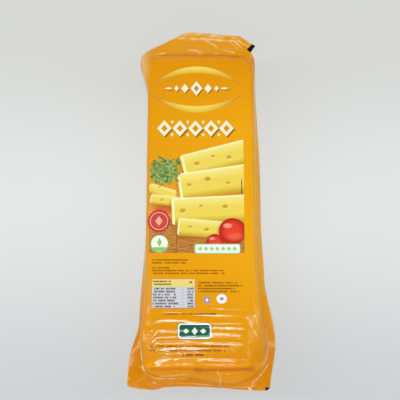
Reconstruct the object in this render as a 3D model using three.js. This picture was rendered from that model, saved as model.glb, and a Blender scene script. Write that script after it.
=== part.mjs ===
// A whole block of gouda cheese, vacuum packed in glossy orange film.
//
// The block is a long bar with a square section. A printed upper web of film is
// drawn down over its top edges, and a plain lower web is formed round its sides
// and base. The two webs are sealed to each other in a flange that runs round the
// pack a little below the top. The flange lies against the long sides, spreads
// into flat ears at the near corners, and stands out as a flap at the far end,
// where one ear hangs down and the other is pulled in.
//
// Millimetres, +Z up, +Y along the block to the far end, +X to the right when the
// print is read. The origin is under the middle of the pack's box, on the surface
// that the pack rests on.

import * as THREE from 'three';

// Driving sizes of the wrapped block.
const BLOCK_WIDTH = 101;
const BLOCK_LENGTH = 301;
const BLOCK_HEIGHT = 99;
const SHOULDER_RADIUS = 6;
const BASE_RADIUS = 5;
const UPRIGHT_RADIUS = 9;
const SIDE_SWELL = 0.9;
const WALL_INSET = 0.6;

// Driving sizes of the flange.
const SEAL_HEIGHT = 84;
const FLANGE_WIDTH = 10.5;
const FLANGE_THICKNESS = 1.4;
const SEAL_INSET = 4.5;
const GAP_UNDER_FLANGE = 5;

// The film's outer edge: how far it reaches from the block's centre lines on each
// side, the stretches over which that reach shifts, and where it swells.
const EDGE = {
  left: {
    reach: 52.2,
    shifts: [
      { by: 4.8, from: -10, to: -110 },
      { by: 8.2, from: -106, to: -142 },
      { by: 1.6, from: -138, to: -163 },
      { by: 7.2, from: 112, to: 146 },
      { by: 2.6, from: 146, to: 177 },
    ],
  },
  right: {
    reach: 52.8,
    shifts: [
      { by: 3.6, from: 140, to: 20 },
      { by: 2, from: -15, to: -65 },
      { by: 8.8, from: -62, to: -124 },
      { by: -6.4, from: -124, to: -168 },
    ],
  },
  near: {
    reach: 163.4,
    shifts: [{ by: 2.9, from: -5, to: 60 }, { by: -0.7, from: -50, to: -66 }],
    swells: [{ by: 2.9, at: -45, width: 11 }],
  },
  far: { reach: 177.2, shifts: [{ by: -3.9, from: -15, to: 45 }] },
  radius: { near: 2, far: 2 },
};

// The foot of the shoulder, where the upper web meets the flange.
const FOOT = {
  left: {
    reach: 51.3,
    shifts: [{ by: 2.4, from: 112, to: 142 }],
    swells: [{ by: 3.4, at: -121, width: 18 }],
  },
  right: {
    reach: 51,
    shifts: [
      { by: 3.3, from: -50, to: -112 },
      { by: 5.4, from: -94, to: -130 },
      { by: -2, from: -134, to: -150 },
    ],
  },
  near: { reach: 155.6, shifts: [{ by: 3.2, from: -5, to: 45 }] },
  far: { reach: 154 },
  radius: { near: 15, far: 12 },
};

// Along the long sides the flange lies against the block between these places,
// and is level past them. At the near end it sags a little in the middle.
const LYING = { levelNear: -140, near: -84, far: 138, levelFar: 160 };
const NEAR_SAG = { depth: 3, halfWidth: 40, from: -140, to: -155 };

// The hanging ear at the far left corner: its fold line in plan, how far it is
// turned down, and how softly the film bends there.
const EAR_FOLD_START = new THREE.Vector2(-53, 147.6);
const EAR_FOLD_END = new THREE.Vector2(-14, 170.5);
const EAR_FOLD_ANGLE = THREE.MathUtils.degToRad(98);
const EAR_BEND_RADIUS = 8;

// The pleated ear at the far right corner: where it begins, where its tip would
// lie flat, how far the tip is pulled back and down, and the nick in the side
// edge where the pleat ends.
const PLEAT = { startX: 38.8, startY: 150, tipX: 53, tipY: 174, pull: 13.5, drop: 7 };
const NICK = { depth: 5.2, at: 162, width: 5, fromX: 46, toX: 52 };

// Heights of the rings that divide the upright sides, and the angles in degrees
// of those that round the shoulder and the base.
const WALL_HEIGHTS = [58, 38, 20];
const SHOULDER_TURNS = [90, 60, 30, 0];
const BASE_TURNS = [0, 30, 60, 90];

// How finely the top face is divided.
const TOP_COLUMNS = 16;
const TOP_ROWS = 30;

const HALF_WIDTH = BLOCK_WIDTH / 2;
const HALF_LENGTH = BLOCK_LENGTH / 2;
const FILM_COLOUR = 0xe3920f;
const MIN_RADIUS = 0.1;
const NUDGE = 0.02;

const { clamp, degToRad, lerp } = THREE.MathUtils;

// A step from 0 to 1 between two places, smooth at both, in either direction.
function ease(from, to, at) {
  const t = clamp((at - from) / (to - from), 0, 1);
  return t * t * (3 - 2 * t);
}

// A smooth rise and fall of height 1 about a place.
function swell(centre, width, at) {
  return Math.exp(-(((at - centre) / width) ** 2));
}

// One side's reach at a place along it.
function reachAt({ reach, shifts = [], swells = [] }, place) {
  let total = reach;
  for (const { by, from, to } of shifts) {
    total += by * ease(from, to, place);
  }
  for (const { by, at, width } of swells) {
    total += by * swell(at, width, place);
  }
  return total;
}

// The block's own upright faces, inset all round by the same amount.
function blockOutline(inset) {
  const side = { reach: HALF_WIDTH - inset };
  const end = { reach: HALF_LENGTH - inset };
  const radius = Math.max(UPRIGHT_RADIUS - inset, MIN_RADIUS);
  return { left: side, right: side, near: end, far: end, radius: { near: radius, far: radius } };
}

// A point on an outline, which is a rounded rectangle whose sides then shift.
// across and along run from -1 to 1, and the larger of the two is 1 in size, so
// they walk round a square. Each half of a corner's arc takes as much of the
// square as its radius.
function outlinePoint(outline, across, along) {
  const sideSign = across < 0 ? -1 : 1;
  const endSign = along < 0 ? -1 : 1;
  const side = across < 0 ? outline.left : outline.right;
  const end = along < 0 ? outline.near : outline.far;
  const radius = along < 0 ? outline.radius.near : outline.radius.far;
  const halfX = reachAt(side, 0);
  const halfY = reachAt(end, 0);

  const onSide = Math.abs(across) >= Math.abs(along);
  const half = onSide ? halfY : halfX;
  const run = half * Math.abs(onSide ? along : across);
  const past = Math.max(run - (half - radius), 0);
  const turn = (past / radius) * (Math.PI / 4);
  const fromSide = onSide ? turn : Math.PI / 2 - turn;
  const facing = new THREE.Vector2(Math.cos(fromSide), Math.sin(fromSide));
  const point = new THREE.Vector2(halfX - radius, halfY - radius).addScaledVector(facing, radius);
  if (past === 0) {
    point.setComponent(onSide ? 1 : 0, run);
  }

  point.x *= sideSign;
  point.y *= endSign;
  const sideShift = (reachAt(side, point.y) - halfX) * facing.x;
  const endShift = (reachAt(end, point.x) - halfY) * facing.y;
  point.x += sideSign * sideShift;
  point.y += endSign * endShift;
  return point;
}

// Pulls the film's edge back at the far right corner, in place, and returns how
// much of the pull the point has taken.
function pleat(point) {
  const inAcross = clamp((point.x - PLEAT.startX) / (PLEAT.tipX - PLEAT.startX), 0, 1);
  const inAlong = clamp((point.y - PLEAT.startY) / (PLEAT.tipY - PLEAT.startY), 0, 1);
  const share = inAcross * inAlong;
  point.x -= NICK.depth * swell(NICK.at, NICK.width, point.y) * ease(NICK.fromX, NICK.toX, point.x);
  point.y -= PLEAT.pull * share;
  return share;
}

// Turns what lies past the ear's fold line down round a bend, in place.
function hangEar(point) {
  const line = EAR_FOLD_END.clone().sub(EAR_FOLD_START).normalize();
  const outward = new THREE.Vector2(-line.y, line.x);
  const fromStart = new THREE.Vector2(point.x, point.y).sub(EAR_FOLD_START);
  const past = fromStart.dot(outward);
  if (past <= 0) {
    return;
  }
  const run = fromStart.dot(line);
  const turn = Math.min(past / EAR_BEND_RADIUS, EAR_FOLD_ANGLE);
  const straight = past - turn * EAR_BEND_RADIUS;
  const out = EAR_BEND_RADIUS * Math.sin(turn) + straight * Math.cos(turn);
  const down = EAR_BEND_RADIUS * (1 - Math.cos(turn)) + straight * Math.sin(turn);
  const foot = EAR_FOLD_START.clone().addScaledVector(line, run);
  point.x = foot.x + outward.x * out;
  point.y = foot.y + outward.y * out;
  point.z -= down;
}

// How far the film's edge hangs below the foot. Where the flange lies against a
// side, its width and its spread in plan say how steeply it hangs.
function edgeSag(foot, edge) {
  const lying = ease(LYING.levelNear, LYING.near, foot.y) * ease(LYING.levelFar, LYING.far, foot.y);
  const steep = Math.sqrt(Math.max(FLANGE_WIDTH ** 2 - edge.distanceToSquared(foot), 0));
  const nearEnd = swell(0, NEAR_SAG.halfWidth, foot.x) * ease(NEAR_SAG.from, NEAR_SAG.to, foot.y);
  return lying * steep + NEAR_SAG.depth * nearEnd;
}

// A point of the flange's upper face. share runs from the foot (0) to the edge (1).
function flangePoint(share, across, along) {
  const foot = outlinePoint(FOOT, across, along);
  const edge = outlinePoint(EDGE, across, along);
  const pulled = pleat(edge);
  const drop = share * (edgeSag(foot, edge) + PLEAT.drop * pulled);
  const plan = foot.lerp(edge, share);
  const point = new THREE.Vector3(plan.x, plan.y, SEAL_HEIGHT - drop);
  hangEar(point);
  return point;
}

// A point of the rounded shoulder. degrees runs from level (0) to upright (90).
function shoulderPoint(degrees, across, along) {
  const turn = degToRad(degrees);
  const plan = outlinePoint(blockOutline(SHOULDER_RADIUS * (1 - Math.sin(turn))), across, along);
  const height = BLOCK_HEIGHT - SHOULDER_RADIUS * (1 - Math.cos(turn));
  return new THREE.Vector3(plan.x, plan.y, height);
}

// A point of the flat top face, whose inner outlines round off as the block's do.
function topFacePoint(x, y) {
  const inset = Math.min(HALF_WIDTH - Math.abs(x), HALF_LENGTH - Math.abs(y));
  if (inset >= UPRIGHT_RADIUS) {
    return new THREE.Vector3(x, y, BLOCK_HEIGHT);
  }
  const plan = outlinePoint(blockOutline(inset), x / (HALF_WIDTH - inset), y / (HALF_LENGTH - inset));
  return new THREE.Vector3(plan.x, plan.y, BLOCK_HEIGHT);
}

// The upper web is a lattice of nested square rings. Each ring has the rule that
// places its points, and a nominal inset from the block's upright faces, which
// shares out the lattice's columns and rows.
const sealShare = 1 - SEAL_INSET / (EDGE.far.reach - FOOT.far.reach);
const flangeShares = [1, sealShare, 0.55, 0.28, 0];
const flangeInsets = [-16, -12.5, -9.5, -6.5, -4];
const shoulderInsets = [0, 1.2, 3.2, SHOULDER_RADIUS];
const cornerInsets = [SHOULDER_RADIUS + 2.6, SHOULDER_RADIUS + 6];

const rings = [
  ...flangeShares.map((share) => (a, b) => flangePoint(share, a, b)),
  ...SHOULDER_TURNS.map((degrees) => (a, b) => shoulderPoint(degrees, a, b)),
];
const topRing = rings.length - 1;

function latticeLines(half, cells) {
  const insets = [...flangeInsets, ...shoulderInsets, ...cornerInsets];
  const outer = insets.map((inset) => inset - half);
  const inner = outer[outer.length - 1];
  const lines = [...outer];
  for (let i = 1; i < cells; i += 1) {
    lines.push(lerp(inner, -inner, i / cells));
  }
  lines.push(...outer.map((place) => -place).reverse());
  return lines;
}

const columns = latticeLines(HALF_WIDTH, TOP_COLUMNS);
const rows = latticeLines(HALF_LENGTH, TOP_ROWS);
const lastColumn = columns.length - 1;
const lastRow = rows.length - 1;

function upperPoint(i, j) {
  const ring = Math.min(i, j, lastColumn - i, lastRow - j);
  if (ring >= topRing) {
    return topFacePoint(columns[i], rows[j]);
  }
  return rings[ring](columns[i] / columns[lastColumn - ring], rows[j] / rows[lastRow - ring]);
}

// The lattice places of the outer ring, walked round once, anticlockwise.
function walkEdge() {
  const places = [];
  for (let i = 0; i < lastColumn; i += 1) {
    places.push([i, 0]);
  }
  for (let j = 0; j < lastRow; j += 1) {
    places.push([lastColumn, j]);
  }
  for (let i = lastColumn; i > 0; i -= 1) {
    places.push([i, lastRow]);
  }
  for (let j = lastRow; j > 0; j -= 1) {
    places.push([0, j]);
  }
  return places;
}

// The underside of the flange, a thickness below its upper face, squarely to it.
function undersidePoint(share, across, along) {
  const onSide = Math.abs(across) >= Math.abs(along);
  const at = (nudgeShare, nudgeRound) => flangePoint(
    clamp(share + nudgeShare, 0, 1),
    onSide ? across : clamp(across + nudgeRound, -1, 1),
    onSide ? clamp(along + nudgeRound, -1, 1) : along,
  );
  const outward = at(NUDGE, 0).sub(at(-NUDGE, 0));
  const round = at(0, NUDGE).sub(at(0, -NUDGE));
  const up = outward.cross(round).normalize();
  if (onSide ? across < 0 : along > 0) {
    up.negate();
  }
  return at(0, 0).addScaledVector(up, -FLANGE_THICKNESS);
}

// The block's upright sides, which swell a little between base and shoulder.
function wallPoint(height, across, along) {
  const middle = BLOCK_HEIGHT / 2;
  const bulge = SIDE_SWELL * (1 - ((height - middle) / middle) ** 2);
  const plan = outlinePoint(blockOutline(WALL_INSET - bulge), across, along);
  return new THREE.Vector3(plan.x, plan.y, height);
}

// A point of the rounded base edge, from upright (0) to level (90).
function basePoint(degrees, across, along) {
  const turn = degToRad(degrees);
  const inset = WALL_INSET + BASE_RADIUS * (1 - Math.cos(turn));
  const plan = outlinePoint(blockOutline(inset), across, along);
  return new THREE.Vector3(plan.x, plan.y, BASE_RADIUS * (1 - Math.sin(turn)));
}

// Where the lower web goes from the film's edge back to the block: along the
// flange's underside, or, where the flange lies against a side, onto that side.
function turnInPoint(share, across, along) {
  const edge = flangePoint(1, across, along);
  const beside = ease(LYING.levelFar, LYING.far, edge.y);
  const lying = beside * clamp((SEAL_HEIGHT - edge.z) / FLANGE_WIDTH, 0, 1);
  const height = edge.z - FLANGE_THICKNESS - GAP_UNDER_FLANGE * (1 - share);
  const level = share > 0
    ? undersidePoint(share, across, along)
    : wallPoint(SEAL_HEIGHT - GAP_UNDER_FLANGE, across, along);
  return share < 1 ? level.lerp(wallPoint(height, across, along), lying) : level;
}

// The lower web's rings, from the film's edge to the flat base.
const lowerRings = [
  ...flangeShares.map((share) => (a, b) => turnInPoint(share, a, b)),
  ...WALL_HEIGHTS.map((height) => (a, b) => wallPoint(height, a, b)),
  ...BASE_TURNS.map((degrees) => (a, b) => basePoint(degrees, a, b)),
];

function buildPack() {
  const positions = [];
  const faces = [];
  const addPoint = (point) => {
    positions.push(point.x, point.y, point.z);
    return positions.length / 3 - 1;
  };
  const addQuad = (a, b, c, d) => {
    faces.push(a, b, c, a, c, d);
  };

  const lattice = columns.map((_, i) => rows.map((__, j) => addPoint(upperPoint(i, j))));
  for (let i = 0; i < lastColumn; i += 1) {
    for (let j = 0; j < lastRow; j += 1) {
      addQuad(lattice[i][j], lattice[i + 1][j], lattice[i + 1][j + 1], lattice[i][j + 1]);
    }
  }

  const places = walkEdge();
  let ringAbove = places.map(([i, j]) => lattice[i][j]);
  for (const pointOf of lowerRings) {
    const ringBelow = places.map(([i, j]) =>
      addPoint(pointOf(columns[i] / columns[lastColumn], rows[j] / rows[lastRow])));
    for (let k = 0; k < places.length; k += 1) {
      const next = (k + 1) % places.length;
      addQuad(ringBelow[k], ringBelow[next], ringAbove[next], ringAbove[k]);
    }
    ringAbove = ringBelow;
  }

  const baseOutline = ringAbove.map((index) =>
    new THREE.Vector2(positions[3 * index], positions[3 * index + 1]));
  for (const [a, b, c] of THREE.ShapeUtils.triangulateShape(baseOutline, [])) {
    faces.push(ringAbove[a], ringAbove[c], ringAbove[b]);
  }

  const geometry = new THREE.BufferGeometry();
  geometry.setAttribute('position', new THREE.Float32BufferAttribute(positions, 3));
  geometry.setIndex(faces);
  geometry.computeBoundingBox();
  const middle = geometry.boundingBox.getCenter(new THREE.Vector3());
  geometry.translate(-middle.x, -middle.y, -geometry.boundingBox.min.z);
  geometry.computeVertexNormals();
  return geometry;
}

const film = new THREE.MeshStandardMaterial({ color: FILM_COLOUR, roughness: 0.28, metalness: 0 });
const pack = new THREE.Mesh(buildPack(), film);
pack.name = 'wrapped_loaf';

const model = new THREE.Group();
model.add(pack);

export default model;
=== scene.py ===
import math
from functools import reduce

import bpy
import numpy as np
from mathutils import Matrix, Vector


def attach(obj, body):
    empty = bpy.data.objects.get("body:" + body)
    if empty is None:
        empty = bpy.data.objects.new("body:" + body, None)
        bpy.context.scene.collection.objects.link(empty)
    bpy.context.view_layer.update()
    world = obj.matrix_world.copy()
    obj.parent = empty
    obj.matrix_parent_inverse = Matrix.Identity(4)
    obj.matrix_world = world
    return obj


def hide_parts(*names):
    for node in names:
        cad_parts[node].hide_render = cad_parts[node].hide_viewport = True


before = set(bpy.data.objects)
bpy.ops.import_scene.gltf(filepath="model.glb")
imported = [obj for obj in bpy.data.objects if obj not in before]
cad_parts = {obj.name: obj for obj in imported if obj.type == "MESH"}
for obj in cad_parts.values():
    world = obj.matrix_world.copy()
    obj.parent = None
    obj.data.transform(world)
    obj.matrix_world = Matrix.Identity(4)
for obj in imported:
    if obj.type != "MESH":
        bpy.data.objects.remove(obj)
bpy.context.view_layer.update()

# ---------------------------------------------------------------------------
# The printed upper web. A sheet of glossy orange film, printed on its upper
# face, which the vacuum draws down over the top edges of the block. It is
# sealed all round to the lower web, in a flange a little below the top.
# ---------------------------------------------------------------------------

# Sizes are in millimetres, about the middle of the block.
MM = 0.001

BLOCK_WIDTH = 101.0
BLOCK_LENGTH = 301.0
BLOCK_HEIGHT = 99.0
HALF_WIDTH, HALF_LENGTH = BLOCK_WIDTH / 2, BLOCK_LENGTH / 2
SEAL_HEIGHT = 84.0
FLANGE_WIDTH = 10.5
FILM_THICKNESS = 0.16

# The shoulder, from the flat top down to the flange: how square it turns by
# the long sides and at the far end, and how it hangs where it is a tent.
SHOULDER_WIDTH = 11.0
SHOULDER_SQUARENESS = 4.4
FAR_SHOULDER = {"squareness": 2.6, "along": (132, 146)}
TENT_EASE, TENT_DROOP = 0.48, 2.5

# Where it is a tent: the spans over which it becomes one, along and across.
TENTS = [
    {"along": (-88, -136), "across": (-53, -36), "share": 1.0},
    {"along": (105, 142), "across": (-12, -42), "share": 0.9},
    {"along": (130, 144), "across": (54, 42), "share": 1.0},
]

# The film's outer edge: how far it reaches from the block's centre lines, and
# the stretches over which that reach shifts or swells: (by, from, to) and
# (by, at, width).
EDGE = {
    "left": {
        "reach": 52.2,
        "shifts": [
            (4.8, -10, -110), (8.2, -106, -142), (1.6, -138, -163), (7.2, 112, 146), (2.6, 146, 177)
        ],
    },
    "right": {
        "reach": 52.8,
        "shifts": [(3.6, 140, 20), (2, -15, -65), (8.8, -62, -124), (-5.5, -124, -168)],
    },
    "near": {
        "reach": 163.4,
        "shifts": [(3.7, -5, 60), (-0.7, -50, -66)],
        "swells": [(2.9, -45, 11)],
    },
    "far": {"reach": 177.2, "shifts": [(-3.9, -15, 45)]},
    "radius": {"near_left": 1.5, "near_right": 0.7, "far_left": 2.0, "far_right": 2.0},
}

# The foot of the shoulder, where the upper web meets the flange.
FOOT = {
    "left": {"reach": 51.3, "shifts": [(5.2, 106, 142)], "swells": [(3.6, -121, 18)]},
    "right": {
        "reach": 51.0,
        "shifts": [(3.3, -50, -112), (5.9, -88, -124), (-1.6, -134, -150)],
    },
    "near": {"reach": 156.2, "shifts": [(5.2, -14, 24)]},
    "far": {"reach": 149.0},
    "radius": {"near_left": 15.0, "near_right": 25.0, "far_left": 12.0, "far_right": 12.0},
}

# The flange lies against the long sides between these spans, it sags in the
# middle of the near end, and the flat ears at the near corners droop.
LYING = {"near": (-131, -84), "far": (136, 98)}
NEAR_SAG = {"depth": 3.0, "half_width": 40, "along": (-140, -155)}
DROOP = {"depth": 2.6, "across": (44.0, 64.0), "along": (-104.0, -140.0)}

# How far the film stays up past the block's edge at the far end, before it
# falls away to the seal. It is less at the far right corner.
FAR_LIFT = {
    "by": 9.5,
    "left_along": (104.0, 140.0),
    "right_along": (132.0, 148.0),
    "left_to_right": (-38, 0),
    "right_across": (20, 46),
    "right_share": 0.35,
    "fall": 1.5,
}

# The hanging ear at the far left corner. The film rolls over a bend that is
# wide by the block and tightens towards the tip.
EAR_FOLD_START, EAR_FOLD_END = (-53.0, 147.6), (-14.0, 170.5)
EAR_FOLD_ANGLE = math.radians(98)
EAR_REACH = 8.0
EAR_BULGE = {"by": 3.4, "at": 8.0, "width": 14.0}
EAR_BEND_RADIUS = {"wide": 13.0, "tight": 4.5, "along": (4.0, 36.0)}

# The pleated ear at the far right corner. The side edge, from where it leaves
# the block, is gathered onto the first path: share of the way, X, Y, drop. The
# end's edge runs out to the ear's tip and back to meet it: share of the way,
# X, shift in Y, drop.
PLEAT_SIDE_START, PLEAT_END_START = 142.0, 38.0
PLEAT_SIDE = np.array([
    [0.00, 52.7, 142.0, 0.0],
    [0.35, 51.9, 150.6, 0.5],
    [0.70, 49.9, 155.4, 1.5],
    [1.00, 47.8, 158.0, 3.0],
])
PLEAT_END = np.array([
    [0.00, 38.0, 0.0, 0.0],
    [0.62, 53.7, -7.8, 6.0],
    [1.00, 47.8, -15.4, 3.0],
])

# The sheet is laid out by its inset from the block's upright faces.
EDGE_INSET = -16.0
FOOT_INSET = -4.0
FLANGE_CELLS = 30
SHOULDER_CELLS = 24
TOP_CELL = 1.0


def ease(start, end, place):
    t = np.clip((place - start) / (end - start), 0, 1)
    return t * t * (3 - 2 * t)


def swell(centre, width, place):
    return np.exp(-(((place - centre) / width) ** 2))


def along_line(x, y, start, end):
    """How far a point is along the line and off to its right, and the line's length."""
    start, end = np.array(start, float), np.array(end, float)
    length = np.linalg.norm(end - start)
    line = (end - start) / length
    from_x, from_y = x - start[0], y - start[1]
    return from_x * line[0] + from_y * line[1], from_x * line[1] - from_y * line[0], length


def reach_at(side, place):
    total = side["reach"]
    for by, start, end in side.get("shifts", ()):
        total = total + by * ease(start, end, place)
    for by, at, width in side.get("swells", ()):
        total = total + by * swell(at, width, place)
    return total


def outline_points(outline, across, along):
    """Points on a rounded rectangle whose sides then shift. across and along run
    from -1 to 1 round a square, the larger of the two being 1 in size."""
    left, near = across < 0, along < 0
    half_x = np.where(left, reach_at(outline["left"], 0.0), reach_at(outline["right"], 0.0))
    half_y = np.where(near, reach_at(outline["near"], 0.0), reach_at(outline["far"], 0.0))
    radii = outline["radius"]
    near_radius = np.where(left, radii["near_left"], radii["near_right"])
    far_radius = np.where(left, radii["far_left"], radii["far_right"])
    radius = np.where(near, near_radius, far_radius)
    on_side = np.abs(across) >= np.abs(along)
    half = np.where(on_side, half_y, half_x)
    run = half * np.where(on_side, np.abs(along), np.abs(across))
    past = np.maximum(run - (half - radius), 0)
    turn = past / radius * (math.pi / 4)
    from_side = np.where(on_side, turn, math.pi / 2 - turn)
    facing_x, facing_y = np.cos(from_side), np.sin(from_side)
    x = half_x - radius + radius * facing_x
    y = half_y - radius + radius * facing_y
    straight = past == 0
    y = np.where(straight & on_side, run, y)
    x = np.where(straight & ~on_side, run, x)
    side_sign, end_sign = np.where(left, -1.0, 1.0), np.where(near, -1.0, 1.0)
    x, y = x * side_sign, y * end_sign
    side_reach = np.where(left, reach_at(outline["left"], y), reach_at(outline["right"], y))
    end_reach = np.where(near, reach_at(outline["near"], x), reach_at(outline["far"], x))
    x = x + side_sign * (side_reach - half_x) * facing_x
    return x, y + end_sign * (end_reach - half_y) * facing_y


def pleat(x, y, on_side):
    """Gathers the film's edge at the far right corner, and says how far it drops."""
    tip_x = EDGE["right"]["reach"]
    tip_y = reach_at(EDGE["far"], tip_x)
    gathered = on_side & (x > 0) & (y > PLEAT_SIDE_START)
    pulled = ~on_side & (y > 0) & (x > PLEAT_END_START)
    along_side = np.clip((y - PLEAT_SIDE_START) / (tip_y - PLEAT_SIDE_START), 0, 1)
    along_end = np.clip((x - PLEAT_END_START) / (tip_x - PLEAT_END_START), 0, 1)
    side_x, side_y, side_drop = (
        np.interp(along_side, PLEAT_SIDE[:, 0], PLEAT_SIDE[:, n]) for n in (1, 2, 3)
    )
    end_x, end_shift, end_drop = (
        np.interp(along_end, PLEAT_END[:, 0], PLEAT_END[:, n]) for n in (1, 2, 3)
    )
    new_x = np.where(gathered, side_x, np.where(pulled, end_x, x))
    new_y = np.where(gathered, side_y, np.where(pulled, y + end_shift, y))
    return new_x, new_y, np.where(gathered, side_drop, np.where(pulled, end_drop, 0.0))


def hang_ear(x, y, z):
    """Rolls the film at the far left corner down over its bend."""
    run, off, length = along_line(x, y, EAR_FOLD_START, EAR_FOLD_END)
    line = (np.array(EAR_FOLD_END) - EAR_FOLD_START) / length
    bend = EAR_BEND_RADIUS
    radius = bend["wide"] + (bend["tight"] - bend["wide"]) * ease(*bend["along"], run)
    reach = EAR_REACH + EAR_BULGE["by"] * swell(EAR_BULGE["at"], EAR_BULGE["width"], run)
    fold = reach - radius
    past = np.maximum(-off - fold, 0)
    turn = np.minimum(past / radius, EAR_FOLD_ANGLE)
    straight = past - turn * radius
    out = fold + radius * np.sin(turn) + straight * np.cos(turn)
    down = radius * (1 - np.cos(turn)) + straight * np.sin(turn)
    folded = past > 0
    x = np.where(folded, EAR_FOLD_START[0] + line[0] * run - line[1] * out, x)
    y = np.where(folded, EAR_FOLD_START[1] + line[1] * run + line[0] * out, y)
    return x, y, z - down


def flange_points(share, across, along):
    """The flange's upper face, from the foot (share 0) to the film's edge (1)."""
    foot_x, foot_y = outline_points(FOOT, across, along)
    on_side = np.abs(across) >= np.abs(along)
    edge_x, edge_y, pleat_drop = pleat(*outline_points(EDGE, across, along), on_side)
    lying = ease(*LYING["near"], foot_y) * ease(*LYING["far"], foot_y)
    steep = np.sqrt(np.maximum(FLANGE_WIDTH**2 - (edge_x - foot_x) ** 2, 0))
    left_lift = ease(*FAR_LIFT["left_along"], foot_y)
    less = 1 - (1 - FAR_LIFT["right_share"]) * ease(*FAR_LIFT["right_across"], foot_x)
    right_lift = ease(*FAR_LIFT["right_along"], foot_y) * less
    left_lift = left_lift + (right_lift - left_lift) * ease(*FAR_LIFT["left_to_right"], foot_x)
    lift = FAR_LIFT["by"] * np.where(foot_x < 0, left_lift, right_lift)
    near_end = swell(0, NEAR_SAG["half_width"], foot_x) * ease(*NEAR_SAG["along"], foot_y)
    ears = ease(*DROOP["across"], np.abs(edge_x)) * ease(*DROOP["along"], edge_y)
    sag = lying * steep + NEAR_SAG["depth"] * near_end + pleat_drop + DROOP["depth"] * ears
    x, y = foot_x + (edge_x - foot_x) * share, foot_y + (edge_y - foot_y) * share
    return hang_ear(x, y, SEAL_HEIGHT + lift * (1 - share) ** FAR_LIFT["fall"] - share * sag)


def web_form(inset, across, along):
    """The upper web without its folds: flange, shoulder and flat top."""
    share = np.clip((FOOT_INSET - inset) / (FOOT_INSET - EDGE_INSET), 0, 1)
    flange = np.stack(flange_points(share, across, along), -1)

    foot = np.stack(flange_points(0.0 * share, across, along), -1)
    top_x, top_y = across * (HALF_WIDTH - SHOULDER_WIDTH), along * (HALF_LENGTH - SHOULDER_WIDTH)
    corner = np.stack([top_x, top_y], -1)
    tented = reduce(np.maximum, (
        tent["share"] * ease(*tent["along"], foot[..., 1]) * ease(*tent["across"], foot[..., 0])
        for tent in TENTS
    ))
    squareness = SHOULDER_SQUARENESS + (FAR_SHOULDER["squareness"] - SHOULDER_SQUARENESS) * ease(
        *FAR_SHOULDER["along"], foot[..., 1]
    )
    run = np.clip((SHOULDER_WIDTH - inset) / (SHOULDER_WIDTH - FOOT_INSET), 0, 1)
    turn = math.pi / 2 * run
    out = np.sin(turn) ** (2 / squareness)
    down = 1 - np.cos(turn) ** (2 / squareness)
    out += (2 * (1 - run) * run * TENT_EASE + run**2 - out) * tented
    down += (run**TENT_DROOP - down) * tented
    shoulder = corner + (foot[..., :2] - corner) * out[..., None]
    height = BLOCK_HEIGHT - (BLOCK_HEIGHT - foot[..., 2]) * down
    shoulder = np.concatenate([shoulder, height[..., None]], -1)

    flat_inset = np.maximum(inset, SHOULDER_WIDTH)
    flat_x, flat_y = across * (HALF_WIDTH - flat_inset), along * (HALF_LENGTH - flat_inset)
    top = np.stack([flat_x, flat_y, BLOCK_HEIGHT + 0 * inset], -1)
    stages = [(inset < FOOT_INSET)[..., None], (inset < SHOULDER_WIDTH)[..., None]]
    return np.select(stages, [flange, shoulder], top)


def web_facing(inset, across, along):
    """The upper web's outward direction, from places a little to each side."""
    on_side = np.abs(across) >= np.abs(along)
    step_in, step_round = 0.2, 0.004

    def beside(by_inset, by_round):
        return web_form(
            np.maximum(inset + by_inset, EDGE_INSET),
            np.where(on_side, across, np.clip(across + by_round, -1, 1)),
            np.where(on_side, np.clip(along + by_round, -1, 1), along),
        )

    outward = beside(-step_in, 0) - beside(step_in, 0)
    around = beside(0, step_round) - beside(0, -step_round)
    facing = np.cross(outward, around)
    flip = np.where(on_side, across < 0, along > 0)
    facing = np.where(flip[..., None], -facing, facing)
    facing = facing / np.maximum(np.linalg.norm(facing, axis=-1, keepdims=True), 1e-9)
    flat = inset > SHOULDER_WIDTH + step_in
    return np.where(flat[..., None], np.array([0.0, 0.0, 1.0]), facing)


# Slow unevenness of the sheet: height, wavelength, how many waves, their seed,
# and the spans of Y and of inset over which it comes in.
UNEVENNESS = [
    (0.16, 46.0, 10, 7, [(150, 100)], [(-2, 8)]),
    (0.035, 13.0, 9, 23, [(-60, -110)], [(-4, 2)]),
    (0.22, 24.0, 9, 37, [], [(-6, -1), (11, 5)]),
    (0.45, 9.0, 8, 57, [(150, 165)], [(-12, -15)]),
    (0.30, 12.0, 8, 63, [(-150, -158)], [(-7, -12)]),
]

# Transverse ripples over the near third of the top: where each lies, how far
# it runs to left and right, how high it stands and its half width.
RIPPLES = [
    (-87.0, -14, 36, 0.10, 1.2),
    (-90.6, -4, 16, 0.16, 0.9),
    (-94.0, 2, 40, 0.16, 1.3),
    (-97.5, -36, 6, 0.16, 1.0),
    (-100.5, -6, 34, 0.20, 1.2),
    (-104.5, -44, 2, 0.24, 1.2),
    (-107.4, -10, 38, 0.24, 1.1),
    (-111.0, 12, 40, 0.22, 1.3),
    (-113.4, -45, -18, 0.34, 1.2),
    (-116.4, 8, 34, 0.34, 1.2),
    (-119.2, -44, 6, 0.28, 1.1),
    (-123.0, -45, -12, 0.40, 1.3),
    (-124.6, 2, 38, 0.28, 1.3),
    (-129.0, -40, 10, 0.12, 1.1),
    (-138.6, -16, 40, 0.30, 1.2),
    (-145.2, -47, 2, 0.55, 1.3),
    (-144.4, 4, 30, 0.30, 1.4),
]
RIPPLE_WANDER, RIPPLE_BOW, RIPPLE_UNEVENNESS = 0.45, 0.0006, 0.30
RIPPLE_END = {"outside": 12, "inside": 7}

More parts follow.
